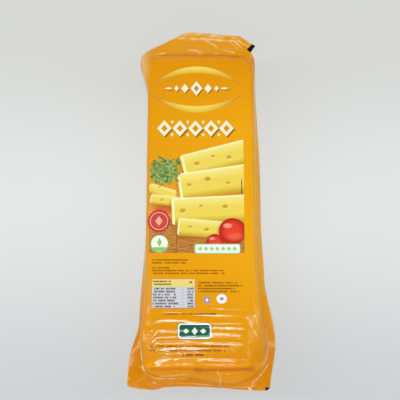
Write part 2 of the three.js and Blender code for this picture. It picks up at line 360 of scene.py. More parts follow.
# Sharp creases in plan: start, end, height (below 0 for a furrow), half width.
CREASES = [
    ((-46, -149.0), (0, -149.2), -0.4, 1.1),
    ((-4, -149.6), (45, -148.9), -0.25, 1.6),
    ((13.8, -148.5), (16.0, -156.0), 0.8, 0.9),
    ((17.5, -151.0), (16.5, -165.0), 0.9, 0.9),
    ((19.5, -153.0), (20.5, -163.0), -0.6, 0.9),
    ((19.0, -151.6), (34.0, -151.0), 0.6, 0.9),
    ((-36.0, -153.5), (-13.0, -152.5), 0.5, 0.9),
    ((40.5, -99.0), (49.8, -121.2), 0.9, 0.8),
    ((47.8, -99.5), (51.2, -112.0), 0.8, 0.8),
    ((43.8, -98.0), (47.2, -109.0), 0.7, 0.8),
    ((47.0, -100.0), (51.5, -115.0), -0.35, 0.9),
    ((49.5, -60.0), (51.5, -90.0), 0.30, 1.0),
    ((50.5, -84.0), (53.5, -112.0), 0.45, 1.1),
    ((55.6, -112.0), (56.4, -129.0), 0.5, 1.2),
    ((56.2, -126.0), (53.2, -141.0), 0.5, 1.1),
    ((60.5, -143.0), (53.0, -154.5), 0.8, 1.0),
    ((51.5, -154.5), (45.0, -162.0), 0.9, 1.0),
    ((-13.0, 156.0), (1.0, 153.5), 0.5, 1.6),
    ((-45.0, 150.0), (-33.0, 152.5), 0.4, 1.5),
]

# Folds, which stand up sharply on one side and fall away gently on the other:
# start, end, height, gentle width, sharp width.
FOLDS = [
    ((2.0, 171.5), (20.0, 155.6), 1.5, 6.0, 0.9),
    ((18.0, 156.8), (34.0, 154.0), 0.8, 4.0, 1.0),
    ((30.0, 170.0), (42.0, 156.5), 1.4, 5.0, 0.9),
    ((-30.0, 166.0), (-8.0, 163.0), 0.5, 6.0, 1.5),
    ((44.0, -147.2), (-6.0, -147.8), 0.9, 6.0, 0.9),
]

# Lines that follow the foot: height, half width, inset, and the spans of Y and
# of X over which each comes in.
FOOT_RIDGE = (0.4, 0.7, FOOT_INSET, [(-100, -122)], [(-34, -46)])
FAR_GROOVE = (-0.45, 1.4, FOOT_INSET + 0.8, [(138, 143)], [(49, 40), (-47, -34)])
FAR_CREST = (0.3, 1.1, FOOT_INSET - 1.8, [(138, 143)], [(49, 40), (-47, -34)])

# The bead of the seal, along the edge.
BEAD = {"height": 0.42, "half_width": 0.55, "from_edge": 5.0, "from_far_edge": 3.0}
BEAD_SPANS = {"to_far": (140, 160), "far": (120, 150), "near": (-130, -150), "across": (52, 44)}

# All relief dies out at the very edge, and the ridges of the foot are uneven.
AT_EDGE, FOOT_UNEVENNESS = (-1.2, 0.8), 0.5


def drift(x, y, wavelength, count, seed):
    """Slow unevenness between -1 and 1: a few waves in seeded directions."""
    draw = np.random.default_rng(seed)
    total = np.zeros_like(x)
    for _ in range(count):
        angle, phase = draw.uniform(0, 2 * np.pi, 2)
        length = wavelength * draw.uniform(0.7, 1.6)
        total += np.sin((x * np.cos(angle) + y * np.sin(angle)) * 2 * np.pi / length + phase)
    return total / math.sqrt(count) * 0.7


def within(place, spans):
    """1 where every span has come in, and 0 before any of them does."""
    return math.prod((ease(*span, place) for span in spans), start=1.0)


def line_share(x, y, start, end, half_width):
    """1 on the line from start to end, falling to 0 beside it and past its ends."""
    run, off, length = along_line(x, y, start, end)
    ends = ease(-2.5, 3.5, run) * ease(length + 2.5, length - 3.5, run)
    return ends / (1 + (off / half_width) ** 2) ** 1.5


def fold_rise(x, y, start, end, height, gentle, sharp):
    run, off, length = along_line(x, y, start, end)
    ends = ease(-1.5, 4.0, run) * ease(length + 3.0, length - 4.0, run)
    sides = np.where(off > 0, np.exp(-np.abs(off) / gentle), np.exp(-((off / sharp) ** 2)))
    return height * ends * sides


def ripple_rise(x, y, n, at, left, right, height, half_width):
    middle = at + RIPPLE_WANDER * drift(x, y, 44.0, 5, 100 + n) - RIPPLE_BOW * x * x
    outside, inside = RIPPLE_END["outside"], RIPPLE_END["inside"]
    ends = ease(left - outside, left + inside, x) * ease(right + outside, right - inside, x)
    uneven = 1 + RIPPLE_UNEVENNESS * (
        drift(x, y, 18.0, 5, 200 + n) + drift(x, 0.3 * y, 6.0, 5, 300 + n)
    )
    return height * ends * swell(middle, half_width, y) * uneven


def foot_line(x, y, inset, height, half_width, at, y_spans, x_spans):
    return height * within(y, y_spans) * within(x, x_spans) * swell(at, half_width, inset)


def bead_at(y):
    """How far the seal's bead stands in from the film's edge."""
    to_far = ease(*BEAD_SPANS["to_far"], y)
    return BEAD["from_edge"] + (BEAD["from_far_edge"] - BEAD["from_edge"]) * to_far


def web_relief(x, y, inset):
    """How far the folds raise the upper web, squarely to it."""
    rise = np.zeros_like(x)
    for height, wavelength, count, seed, y_spans, inset_spans in UNEVENNESS:
        share = within(y, y_spans) * within(inset, inset_spans)
        rise += height * drift(x, y, wavelength, count, seed) * share
    for n, ripple in enumerate(RIPPLES):
        rise += ripple_rise(x, y, n, *ripple)
    for start, end, height, half_width in CREASES:
        rise += height * line_share(x, y, start, end, half_width)
    for fold in FOLDS:
        rise += fold_rise(x, y, *fold)
    uneven = 1 + FOOT_UNEVENNESS * drift(x, y, 20.0, 6, 41)
    rise += foot_line(x, y, inset, *FOOT_RIDGE) * uneven
    rise += foot_line(x, y, inset, *FAR_GROOVE)
    rise += foot_line(x, y, inset, *FAR_CREST) * uneven
    from_edge = inset - EDGE_INSET
    near_end = ease(*BEAD_SPANS["across"], np.abs(x)) * ease(*BEAD_SPANS["near"], y)
    beaded = np.maximum(ease(*BEAD_SPANS["far"], y), near_end)
    rise += BEAD["height"] * beaded * swell(bead_at(y), BEAD["half_width"], from_edge)
    return rise * ease(*AT_EDGE, from_edge)


# Painted highlights: glints along the creases and folds, painted pale into
# the film's colour: start, end, strength, half width.
PAINTED_GLINTS = [
    ((3.8, 170.0), (18.5, 156.9), 1.0, 0.8),
    ((17.0, 157.6), (33.0, 152.6), 0.7, 0.8),
    ((31.3, 168.2), (41.5, 157.8), 1.0, 0.8),
    ((-13.0, 156.0), (1.0, 153.5), 0.6, 1.0),
    ((-45.0, 150.0), (-33.0, 152.5), 0.6, 0.9),
    ((-40.0, -145.2), (-6.0, -145.2), 0.30, 0.7),
    ((13.8, -148.5), (15.8, -154.0), 0.9, 0.5),
    ((17.5, -151.0), (16.5, -164.0), 0.9, 0.5),
    ((20.0, -152.0), (33.0, -151.2), 0.7, 0.6),
    ((-37.0, -154.5), (-13.0, -152.6), 0.7, 0.5),
    ((41.0, -100.0), (49.8, -121.2), 0.9, 0.5),
    ((48.0, -100.5), (51.0, -111.5), 0.8, 0.45),
    ((44.2, -99.0), (47.0, -108.0), 0.55, 0.4),
    ((60.0, -143.5), (53.2, -154.0), 0.5, 0.5),
    ((51.5, -154.5), (45.0, -162.0), 0.6, 0.5),
]

# Painted shade: dark lines along the furrow by the near end, where the film is pinched, deepening
# its colour.
PAINTED_FURROW_SHADE = [
    ((-46.0, -148.4), (0.0, -148.7), 0.6, 1.6),
    ((-6.0, -149.0), (47.0, -148.2), 0.95, 2.2),
]

# Painted highlights that follow the foot, given as FOOT_RIDGE is, and painted
# shade in the groove by the far end.
PAINTED_FOOT_GLINTS = [
    (1.1, 0.65, FOOT_INSET - 0.45, [(-106, -120)], [(-47, -51)]),
    (0.9, 0.36, FOOT_INSET, [(-106, -122)], [(-8, -22), (-51, -47)]),
    (0.5, 0.8, FOOT_INSET + 0.5, [(-84, -108), (-152, -140)], [(40, 50)]),
]
PAINTED_GROOVE_SHADE = (0.75, 1.5, FOOT_INSET + 0.6, [(136, 142)], [(49, 42), (-47, -34)])

# Painted highlights on the bead and on the rim (by the far end, by the near
# right side and all round), and a painted pale sheen on the bulge by the
# hanging ear. All of it is broken up, but the last.
FAR_GLINT_SPAN, NEAR_GLINT_SPAN = (148, 158), (-148, -156)
BEAD_GLINT = {"half_width": 0.45, "across": (50, 44), "left": 0.25, "more": 0.45, "rise": (-20, 10)}
RIM_GLINT = {"width": (2.6, 0.6), "fine_width": (1.0, 0.2), "far": 0.75, "side": 0.4, "round": 0.45}
RIM_GLINT_SIDE = {"along": [(-60, -80), (-132, -120)], "across": (20, 40)}
RIM_UNEVEN, BROKEN = (0.5, 0.8), {"middle": 0.72, "by": 0.55, "least": 0.15}
BULGE_SHEEN = {"by": 0.7, "at": 136.0, "width": 22.0, "across": (-47.0, -61.0), "in": (-13.0, -8.0)}


def painted_light_on_web(x, y, inset):
    """How much painted highlight the film carries, up to 1, or painted shade, down to -1."""
    painted_light = np.zeros_like(x)
    # Painted highlights along the creases and folds.
    for start, end, strength, half_width in PAINTED_GLINTS:
        painted_light = np.maximum(painted_light, strength * line_share(x, y, start, end, half_width))
    from_edge = inset - EDGE_INSET
    # Painted highlights on the bead, along the foot and round the rim.
    far, near = ease(*FAR_GLINT_SPAN, y), ease(*NEAR_GLINT_SPAN, y)
    near_share = BEAD_GLINT["left"] + BEAD_GLINT["more"] * ease(*BEAD_GLINT["rise"], x)
    near_share = ease(*BEAD_GLINT["across"], np.abs(x)) * near_share
    bead_highlight = swell(bead_at(y), BEAD_GLINT["half_width"], from_edge)
    bead_highlight = bead_highlight * np.maximum(far, near * near_share)
    foot = sum(foot_line(x, y, inset, *line) for line in PAINTED_FOOT_GLINTS)
    level, unevenness = RIM_UNEVEN
    far_rim = RIM_GLINT["far"] * far * (level + unevenness * drift(x, y, 10.0, 6, 83))
    side_rim = RIM_GLINT["side"] * within(y, RIM_GLINT_SIDE["along"]) * ease(*RIM_GLINT_SIDE["across"], x)
    rim = ease(*RIM_GLINT["width"], from_edge) * np.maximum(far_rim, side_rim)
    rim = np.maximum(rim, RIM_GLINT["round"] * ease(*RIM_GLINT["fine_width"], from_edge))
    broken = BROKEN["middle"] + BROKEN["by"] * drift(x, y, 8.0, 8, 91)
    broken = np.clip(broken, BROKEN["least"], 1)
    painted_light = np.maximum(painted_light, np.maximum(bead_highlight, foot)) * broken
    painted_light = np.maximum(painted_light, rim * broken)
    # A painted pale sheen on the bulge by the hanging ear.
    beside_block = ease(*BULGE_SHEEN["across"], x) * ease(*BULGE_SHEEN["in"], inset)
    along_ear = swell(BULGE_SHEEN["at"], BULGE_SHEEN["width"], y)
    painted_light = np.maximum(painted_light, BULGE_SHEEN["by"] * beside_block * along_ear)
    painted_light = np.clip(painted_light, 0, 1)
    # Painted shade along the near furrow, then in the far groove.
    for start, end, strength, half_width in PAINTED_FURROW_SHADE:
        painted_light -= strength * line_share(x, y, start, end, half_width) * (1 - painted_light)
    groove_shade = foot_line(x, y, inset, *PAINTED_GROOVE_SHADE)
    return np.clip(painted_light - groove_shade * (1 - np.maximum(painted_light, 0)), -1, 1)


def dressed_web(inset, across, along, below=0.0):
    """The upper web with its folds, or a face the given depth below it, and where
    its points lie before the folds."""
    form = web_form(inset, across, along)
    rise = web_relief(form[..., 0], form[..., 1], inset) - below
    return form + web_facing(inset, across, along) * rise[..., None], form


def lattice_lines(half):
    outer = np.concatenate([
        np.linspace(EDGE_INSET, FOOT_INSET, FLANGE_CELLS, endpoint=False),
        np.linspace(FOOT_INSET, SHOULDER_WIDTH, SHOULDER_CELLS, endpoint=False),
    ]) - half
    inner_half = half - SHOULDER_WIDTH
    inner = np.linspace(-inner_half, inner_half, int(round(2 * inner_half / TOP_CELL)) + 1)
    return np.concatenate([outer, inner, -outer[::-1]])


columns, rows = lattice_lines(HALF_WIDTH), lattice_lines(HALF_LENGTH)
n_columns, n_rows = len(columns), len(rows)
grid_x, grid_y = np.meshgrid(columns, rows, indexing="ij")
grid_inset = np.minimum(HALF_WIDTH - np.abs(grid_x), HALF_LENGTH - np.abs(grid_y))
grid_across = grid_x / (HALF_WIDTH - grid_inset)
grid_along = grid_y / (HALF_LENGTH - grid_inset)
web_points, web_places = dressed_web(grid_inset, grid_across, grid_along)
web_count = n_columns * n_rows
index = np.arange(web_count).reshape(n_columns, n_rows)
quads = [index[:-1, :-1], index[1:, :-1], index[1:, 1:], index[:-1, 1:]]
web_faces = np.stack(quads, -1).reshape(-1, 4).tolist()

# The block's middle in the frame is the middle of the CAD solid's flat top.
cad_points = np.array([v.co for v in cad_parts["wrapped_loaf"].data.vertices]) / MM
cad_top = cad_points[cad_points[:, 2] > cad_points[:, 2].max() - 0.01]
block_middle = (cad_top.min(0) + cad_top.max(0)) / 2 * np.array([1, 1, 0])


def closed_skin(name, points, faces):
    """A smooth mesh from points in millimetres about the block's middle."""
    mesh = bpy.data.meshes.new(name)
    mesh.from_pydata(((points + block_middle) * MM).tolist(), [], faces)
    mesh.shade_smooth()
    piece = bpy.data.objects.new(name, mesh)
    bpy.context.scene.collection.objects.link(piece)
    return piece, mesh


def ring_walk():
    """The lattice places of the outer ring, walked round once, anticlockwise."""
    last_i, last_j = n_columns - 1, n_rows - 1
    near = [(i, 0) for i in range(last_i)]
    right = [(last_i, j) for j in range(last_j)]
    far = [(i, last_j) for i in range(last_i, 0, -1)]
    left = [(0, j) for j in range(last_j, 0, -1)]
    return np.array(near + right + far + left)


rim = ring_walk()
rim_across = columns[rim[:, 0]] / columns[-1]
rim_along = rows[rim[:, 1]] / rows[-1]
rim_count = len(rim)
FLANGE_RING_INSETS = np.linspace(EDGE_INSET, FOOT_INSET, 9)

# The map that the print is baked to: the shown face, then a strip for each
# unseen ring, then a corner for the face that closes the skin.
SHOWN_SHARE = 0.94
STRIP_START, STRIP_END, STRIP_LENGTH = SHOWN_SHARE + 0.01, 0.985, 0.96
CLOSING_SIZE, CLOSING_CORNER = np.array([0.01, 0.03]), np.array([0.988, 0.965])


def run_along(points):
    run = np.concatenate([[0], np.cumsum(np.linalg.norm(np.diff(points, axis=0), axis=1))])
    return run / run[-1]


def ring_faces(outer, inner, upward):
    """Quads between two rings of points, given by the numbers of their points."""
    quads = np.stack([outer, np.roll(outer, -1), np.roll(inner, -1), inner], 1)
    return (quads if upward else quads[:, ::-1]).tolist()


def unseen_rings(depth, start_ring, count, upward):
    """Rings under the flange, and one face across the block, that close a skin.
    Returns their points, where those lie on the film, the faces and their map."""
    points, places, faces, bake = [], [], [], []
    strip = np.linspace(STRIP_START, STRIP_END, len(FLANGE_RING_INSETS) + 1)
    around = np.arange(rim_count + 1) / rim_count * STRIP_LENGTH
    here, onward = around[:-1], around[1:]
    before = start_ring
    for inset, low, high in zip(FLANGE_RING_INSETS, strip[:-1], strip[1:]):
        ring, form = dressed_web(np.full(rim_count, inset), rim_across, rim_along, depth)
        points.append(ring)
        places.append(form)
        ring_index = np.arange(count, count + rim_count)
        faces += ring_faces(before, ring_index, upward)
        corners = [(low, here), (low, onward), (high, onward), (high, here)]
        corners = [np.stack([np.full(rim_count, u), v], -1) for u, v in corners]
        bake.append(np.stack(corners if upward else corners[::-1], 1).reshape(-1, 2))
        before = ring_index
        count += rim_count
    order = np.arange(rim_count) if upward else np.arange(rim_count)[::-1]
    faces.append(before[order].tolist())
    closing = points[-1][order, :2]
    closing = (closing - closing.min(0)) / (closing.max(0) - closing.min(0))
    bake.append(closing * CLOSING_SIZE + CLOSING_CORNER)
    return points, places, faces, bake


map_u = run_along(web_points[:, n_rows // 2]) * SHOWN_SHARE
map_v = run_along(web_points[n_columns // 2])
corner_u = np.stack([map_u[:-1], map_u[1:], map_u[1:], map_u[:-1]], -1)[:, None, :]
corner_v = np.stack([map_v[:-1], map_v[:-1], map_v[1:], map_v[1:]], -1)[None, :, :]
web_bake = np.stack(np.broadcast_arrays(corner_u, corner_v), -1).reshape(-1, 2)
rim_index = index[rim[:, 0], rim[:, 1]]
points, places, faces, bake = unseen_rings(FILM_THICKNESS, rim_index, web_count, False)
points, places = [web_points.reshape(-1, 3), *points], [web_places.reshape(-1, 3), *places]
upper_web, web_mesh = closed_skin(
    "printed_upper_web", np.concatenate(points), web_faces + faces
)
# Painted light at each point: painted highlights and painted shade.
painted_light = np.zeros(len(web_mesh.vertices))
painted_light[:web_count] = painted_light_on_web(web_places[..., 0], web_places[..., 1], grid_inset).ravel()

# Each point's place on the film, its painted light (painted highlight above 0, painted shade
# below), and each face corner's place on the map.
on_film = web_mesh.attributes.new("film_place", "FLOAT_VECTOR", "POINT")
on_film.data.foreach_set("vector", np.concatenate(places).ravel())
web_mesh.attributes.new("film_painted_light", "FLOAT", "POINT").data.foreach_set("value", painted_light)
baked_map = web_mesh.uv_layers.new(name="OFBake")
baked_map.data.foreach_set("uv", np.concatenate([web_bake, *bake]).ravel())
web_mesh.validate()
web_mesh.update()

# The print is ink under the film's gloss. It is read off in millimetres on the
# film, as that lies before it is folded, by shader nodes.


class Reading:
    """A value read off over the film. A sum done with it becomes a shader node."""

    def __init__(self, socket):
        self.socket = socket

    def __add__(self, other):
        return calc("ADD", self, other)

    def __sub__(self, other):
        return calc("SUBTRACT", self, other)

    def __rsub__(self, other):
        return calc("SUBTRACT", other, self)

    def __mul__(self, other):
        return calc("MULTIPLY", self, other)

    def __truediv__(self, other):
        return calc("DIVIDE", self, other)

    def __abs__(self):
        return calc("ABSOLUTE", self)


def feed(socket, value):
    if isinstance(value, Reading):
        socket.id_data.links.new(value.socket, socket)
    else:
        socket.default_value = value


def add_node(tree, kind, values=(), **settings):
    node = tree.nodes.new("ShaderNode" + kind)
    for name, setting in settings.items():
        setattr(node, name, setting)
    for socket, value in zip(node.inputs, values):
        feed(socket, value)
    return node


def calc(operation, *values):
    """A sum, in the node tree of the readings that go into it."""
    tree = next(value.socket.id_data for value in values if isinstance(value, Reading))
    return Reading(add_node(tree, "Math", values, operation=operation).outputs[0])


def grade(value, low, high, low_to=0.0, high_to=1.0, way="LINEAR"):
    """value carried from the range low..high to low_to..high_to, and held at its ends."""
    spans = (value, low, high, low_to, high_to)
    node = add_node(value.socket.id_data, "MapRange", spans, interpolation_type=way)
    return Reading(node.outputs[0])


def noise(place, scale, detail=2.0, roughness=0.5, stretch=None):
    tree = place.socket.id_data
    if stretch is not None:
        mapping = add_node(tree, "Mapping", [place])
        mapping.inputs["Scale"].default_value = stretch
        place = Reading(mapping.outputs[0])
    node = add_node(tree, "TexNoise", [place])
    for name, value in (("Scale", scale), ("Detail", detail), ("Roughness", roughness)):
        node.inputs[name].default_value = value
    return Reading(node.outputs["Fac"])


def blend_colours(mask, under, over):
    node = add_node(mask.socket.id_data, "Mix", data_type="RGBA", clamp_factor=True)
    for name, value in (("Factor", mask), ("A", under), ("B", over)):
        feed(node.inputs[name], value)
    return Reading(node.outputs["Result"])


def object_place(tree):
    return Reading(add_node(tree, "TexCoord").outputs["Object"])


def start_group(name, inputs, outputs):
    """A new shader node group, the readings that it takes, and its outputs by name."""
    group = bpy.data.node_groups.new(name, "ShaderNodeTree")
    for way, labels in (("INPUT", inputs), ("OUTPUT", outputs)):
        for label in labels:
            group.interface.new_socket(label, in_out=way, socket_type="NodeSocketFloat")
    entry = group.nodes.new("NodeGroupInput").outputs
    leave = group.nodes.new("NodeGroupOutput").inputs
    return group, [Reading(entry[label]) for label in inputs], leave


def use_group(tree, group, *values):
    node = add_node(tree, "Group", node_tree=group)
    for socket, value in zip(node.inputs, values):
        feed(socket, value)
    return {socket.name: Reading(socket) for socket in node.outputs}


# The film's finish: the height of its orange peel and of the sharp crinkles
# where it is slack, in millimetres, how sharp those are, and its roughness.
PEEL_HEIGHT, CRINKLE_HEIGHT, CRINKLE_SHARPNESS = 0.007, 0.022, 9.0
FILM_ROUGHNESS = (0.06, 0.10)


def build_film_surface():
    """What both webs share: slow unevenness of tone and gloss, the fine orange
    peel of the film, and sharp little crinkles where it is slack."""
    tree, (slack,), out = start_group("film_surface", ["Slack"], ["Height", "Roughness", "Tone"])
    place = object_place(tree)
    slow = noise(place, 25.0, 2.0)
    peel = noise(place, 420.0, 3.0, 0.6)
    crinkle = noise(place, 150.0, 3.0, 0.55, (0.5, 1.8, 1.0))
    ridge = 1.0 - abs(crinkle - 0.5) * CRINKLE_SHARPNESS
    ridge = calc("POWER", calc("MAXIMUM", ridge, 0.0), 2.0)
    feed(out["Height"], peel * PEEL_HEIGHT + ridge * CRINKLE_HEIGHT * slack)
    feed(out["Roughness"], grade(slow, 0.3, 0.7, *FILM_ROUGHNESS))
    feed(out["Tone"], grade(slow, 0.25, 0.75))
    return tree


# Every shape of ink takes these, and then its own values. All are in millimetres.
SHAPE = ["X", "Y", "Middle X", "Middle Y", "Half Width", "Half Height"]
SCALLOP_DEPTH, LOZENGE_SLANT = 0.035, 0.7


def ink_edge(off, softness):
    """Ink up to where off is 0, with an edge of this softness."""
    return grade(off / softness, 0.5, -0.5)


def build_ink_block():
    """A rounded block of ink, turned by Tilt. Along and Up run from -1 to 1 in it."""
    inputs = [*SHAPE, "Corner", "Tilt", "Softness"]
    tree, taken, out = start_group("ink_block", inputs, ["Mask", "Along", "Up"])
    x, y, middle_x, middle_y, half_width, half_height, corner, tilt, softness = taken
    from_x, from_y = x - middle_x, y - middle_y
    cos, sin = calc("COSINE", tilt), calc("SINE", tilt)
    along = from_x * cos + from_y * sin
    up = from_y * cos - from_x * sin
    past = []
    for run, half in ((along, half_width), (up, half_height)):
        straight = half - corner
        past.append(abs(run) - straight)
    outer_x, outer_y = [calc("MAXIMUM", p, 0.0) for p in past]
    outer = calc("SQRT", outer_x * outer_x + outer_y * outer_y)
    inner = calc("MINIMUM", calc("MAXIMUM", *past), 0.0)
    feed(out["Mask"], ink_edge(outer + inner - corner, softness))
    feed(out["Along"], along / half_width)
    feed(out["Up"], up / half_height)
    return tree


def build_ink_oval():
    """An oval of ink, its rim scalloped Scallops times round. Rim is 1 at its edge."""
    tree, taken, out = start_group("ink_oval", [*SHAPE, "Scallops", "Softness"], ["Mask", "Rim"])
    x, y, middle_x, middle_y, half_width, half_height, scallops, softness = taken
    across = (x - middle_x) / half_width
    up = (y - middle_y) / half_height
    edge = calc("SQRT", across * across + up * up)
    angle = calc("ARCTAN2", up, across) * scallops
    wave = (calc("COSINE", angle) - 1.0) * SCALLOP_DEPTH
    feed(out["Mask"], ink_edge((edge - wave - 1.0) * half_height, softness))
    feed(out["Rim"], edge)
    return tree


def build_ink_lozenge():
    tree, taken, out = start_group("ink_lozenge", [*SHAPE, "Softness"], ["Mask"])
    x, y, middle_x, middle_y, half_width, half_height, softness = taken
    across, up = abs(x - middle_x), abs(y - middle_y)
    reach = across / half_width + up / half_height
    feed(out["Mask"], ink_edge((reach - 1.0) * (half_height * LOZENGE_SLANT), softness))
    return tree


CRESCENT_END, CRESCENT_EDGE, CRESCENT_THINNEST = 0.02, 0.12, 0.05


def build_gold_crescent():
    """A bowed band of gold that narrows to nothing at both ends."""
    inputs = ["X", "Y", "Middle X", "End Y", "Half Span", "Rise", "Half Thickness"]
    tree, taken, out = start_group("gold_crescent", inputs, ["Mask", "Along", "Up"])
    x, y, middle_x, end_y, half_span, rise, half_thickness = taken
    along = (x - middle_x) / half_span
    bow = calc("MAXIMUM", 1.0 - along * along, 0.0)
    middle = end_y + bow * rise
    half = bow * half_thickness
    from_middle = y - middle
    off = abs(from_middle) - half
    inside = calc("GREATER_THAN", half, CRESCENT_END)
    feed(out["Mask"], inside * grade(off, CRESCENT_EDGE, -CRESCENT_EDGE))
    feed(out["Along"], along)
    feed(out["Up"], from_middle / calc("MAXIMUM", half, CRESCENT_THINNEST))
    return tree


# Small print: how much of a row's height its strokes fill, the cells along the
# row that break it, the share left open, and how far its right end varies.
STROKE_FOOT, STROKE_HEAD = (0.12, 0.22), (0.78, 0.68)
WIDE_CELLS, FINE_CELLS = 0.85, 2.1
OPEN_SHARE, RAGGED_SHARE, FAINTEST = 0.17, 0.22, 0.55
ROW_STEP, CELL_STEP, SCATTER = 7.31, 1.93, 917.3


def build_small_print():
    """Rows of small print, each a run of broken strokes."""
    inputs = ["X", "Y", "Left", "Right", "Top", "Bottom", "Pitch", "Seed"]
    tree, (x, y, left, right, top, bottom, pitch, seed), out = start_group(
        "small_print", inputs, ["Mask"]
    )
    down = (top - y) / pitch
    row = calc("FLOOR", down)
    in_row = down - row
    stroke = grade(in_row, *STROKE_FOOT) * grade(in_row, *STROKE_HEAD)
    key = row + seed

    def chance(cell):
        """A seeded value from 0 to 1, the same all along each cell of the row."""
        return calc("FRACT", calc("SINE", key * ROW_STEP + cell * CELL_STEP) * SCATTER)

    wide = chance(calc("FLOOR", x * WIDE_CELLS))
    wide = calc("GREATER_THAN", wide, OPEN_SHARE)
    fine = chance(calc("FLOOR", x * FINE_CELLS))
    fine = grade(fine, 0.0, 1.0, FAINTEST, 1.0)
    width = right - left
    right = right - width * RAGGED_SHARE * chance(0.5)
    mask = calc("GREATER_THAN", x, left) * calc("LESS_THAN", x, right)
    mask = mask * calc("LESS_THAN", y, top)
    mask = mask * calc("GREATER_THAN", y, bottom)
    mask = mask * (stroke * wide)
    feed(out["Mask"], mask * fine)
    return tree


film_surface = build_film_surface()
ink_block, ink_oval, ink_lozenge = build_ink_block(), build_ink_oval(), build_ink_lozenge()
gold_crescent, small_print = build_gold_crescent(), build_small_print()
INK_GAIN = 1.05


def shade(red, green, blue):
    """A colour as the eye reads it under the lamps, 0 to 255, made linear."""
    def linear(value):
        value /= 255
        value = value / 12.92 if value <= 0.04045 else ((value + 0.055) / 1.055) ** 2.4
        return min(value * INK_GAIN, 1.0)
    return (linear(red), linear(green), linear(blue), 1.0)


def film_material(name, shine):
    material = bpy.data.materials.new(name)
    material.use_nodes = True
    shader = material.node_tree.nodes["Principled BSDF"].inputs
    feed(shader["Specular IOR Level"], shine)
    return material, material.node_tree, shader


def finish_film(tree, shader, colour, surface):
    feed(shader["Base Color"], colour)
    feed(shader["Roughness"], surface["Roughness"])
    bump = add_node(tree, "Bump")
    feed(bump.inputs["Distance"], MM)
    feed(bump.inputs["Height"], surface["Height"])
    feed(shader["Normal"], Reading(bump.outputs["Normal"]))


printed_film, tree, shader = film_material("printed_orange_film", 0.21)
place_read = add_node(tree, "Attribute", attribute_name="film_place").outputs["Vector"]
split = add_node(tree, "SeparateXYZ", [Reading(place_read)])
X, Y, Z = [Reading(socket) for socket in split.outputs]
place = object_place(tree)

# The film's own orange, and the spans over which its colour changes: where it
# is slack; lighter over the middle and the right of the top, a painted sheen;
# deeper in the near ears, a painted shade; and lighter at the flap and the
# front, painted light.
FILM_DEEP, FILM_SHEEN_LIT = (0.75, 0.280, 0.0, 1), (0.87, 0.396, 0.005, 1)
FILM_EAR_SHADE, FILM_FLAP_LIT, FILM_FRONT_LIT = (0.68, 0.235, 0, 1), (0.82, 0.326, 0, 1), (0.86, 0.322, 0, 1)
SLACK_ALONG, SLACK_DOWN = (-60.0, -120.0, 0.15, 1.0), (92.0, 86.0, 1.0, 0.2)
LIGHT_FAR, LIGHT_NEAR, LIGHT_ACROSS = (150.0, 70.0), (-140.0, -50.0), (-70.0, 45.0, 0.45, 1.0)
EAR_DOWN, EAR_ALONG, FLAP_ALONG = (90.0, 85.0), (-96.0, -130.0), (143.0, 150.0)
FRONT_ALONG, FRONT_UP = (-139.0, -144.0), (84.5, 86.5)
TONE_SHARE, PAINTED_LIGHT_SHARE = 0.1, 0.85

surface = use_group(tree, film_surface, grade(Y, *SLACK_ALONG) * grade(Z, *SLACK_DOWN))
# Painted sheen: the top is lighter over its middle and towards its right.
painted_sheen = grade(Y, *LIGHT_FAR) * grade(Y, *LIGHT_NEAR)
painted_sheen = painted_sheen * grade(X, *LIGHT_ACROSS)
painted_sheen = painted_sheen + surface["Tone"] * TONE_SHARE
colour = blend_colours(painted_sheen, FILM_DEEP, FILM_SHEEN_LIT)
# Painted shade in the near ears, and painted light on the flap and the front.
colour = blend_colours(grade(Z, *EAR_DOWN) * grade(Y, *EAR_ALONG), colour, FILM_EAR_SHADE)
colour = blend_colours(grade(Y, *FLAP_ALONG), colour, FILM_FLAP_LIT)
colour = blend_colours(grade(Y, *FRONT_ALONG) * grade(Z, *FRONT_UP), colour, FILM_FRONT_LIT)


def block(x, y, half_width, half_height, corner=0.4, tilt=0.0, softness=0.25):
    sizes = (x, y, half_width, half_height, corner, tilt, softness)
    return use_group(tree, ink_block, X, Y, *sizes)["Mask"]


def oval(x, y, half_width, half_height, scallops=0.0, softness=0.25):
    sizes = (x, y, half_width, half_height, scallops, softness)
    return use_group(tree, ink_oval, X, Y, *sizes)["Mask"]


def lozenge(x, y, half_width, half_height, softness=0.25, across=X):
    sizes = (x, y, half_width, half_height, softness)
    return use_group(tree, ink_lozenge, across, Y, *sizes)["Mask"]


def repeated(across, pitch):
    """The place within one pitch, so that a motif drawn once comes again and again."""
    return calc("WRAP", across, 0.5 * pitch, -0.5 * pitch)


def together(masks):
    """One mask for several shapes of the same ink."""
    return reduce(lambda whole, mask: calc("MAXIMUM", whole, mask), masks)


def ink(colour, paint, mask, share=1.0, within=None):
    if share != 1.0:
        mask = mask * share
    if within is not None:
        mask = mask * within
    return blend_colours(mask, colour, paint)


def ink_each(colour, patches):
    """Single shapes, each inked over the last: paint, share, shape, sizes."""
    for paint, share, shape, *sizes in patches:
        colour = ink(colour, shade(*paint), shape(*sizes), share)
    return colour


# Two gold crescents, and between them a row of cream lozenges with their shadow.
CREAM, ORNAMENT_SHADOW = shade(252, 240, 205), shade(120, 74, 14)
GOLD_PALE, GOLD, GOLD_BROWN = shade(240, 214, 96), shade(226, 184, 44), shade(190, 106, 30)
CRESCENT_X, CRESCENT_SPAN, CRESCENT_THICKNESS = -4.2, 43.4, 3.3
for end_y, rise in ((116.0, 16.0), (106.5, -14.5)):
    sizes = (CRESCENT_X, end_y, CRESCENT_SPAN, rise, CRESCENT_THICKNESS)
    mask, along, up = use_group(tree, gold_crescent, X, Y, *sizes).values()
    gold = blend_colours(grade(up, -0.9, 0.4), GOLD, GOLD_PALE)
    gold = blend_colours(calc("POWER", abs(along), 2.2), gold, GOLD_BROWN)
    colour = blend_colours(mask, colour, gold)

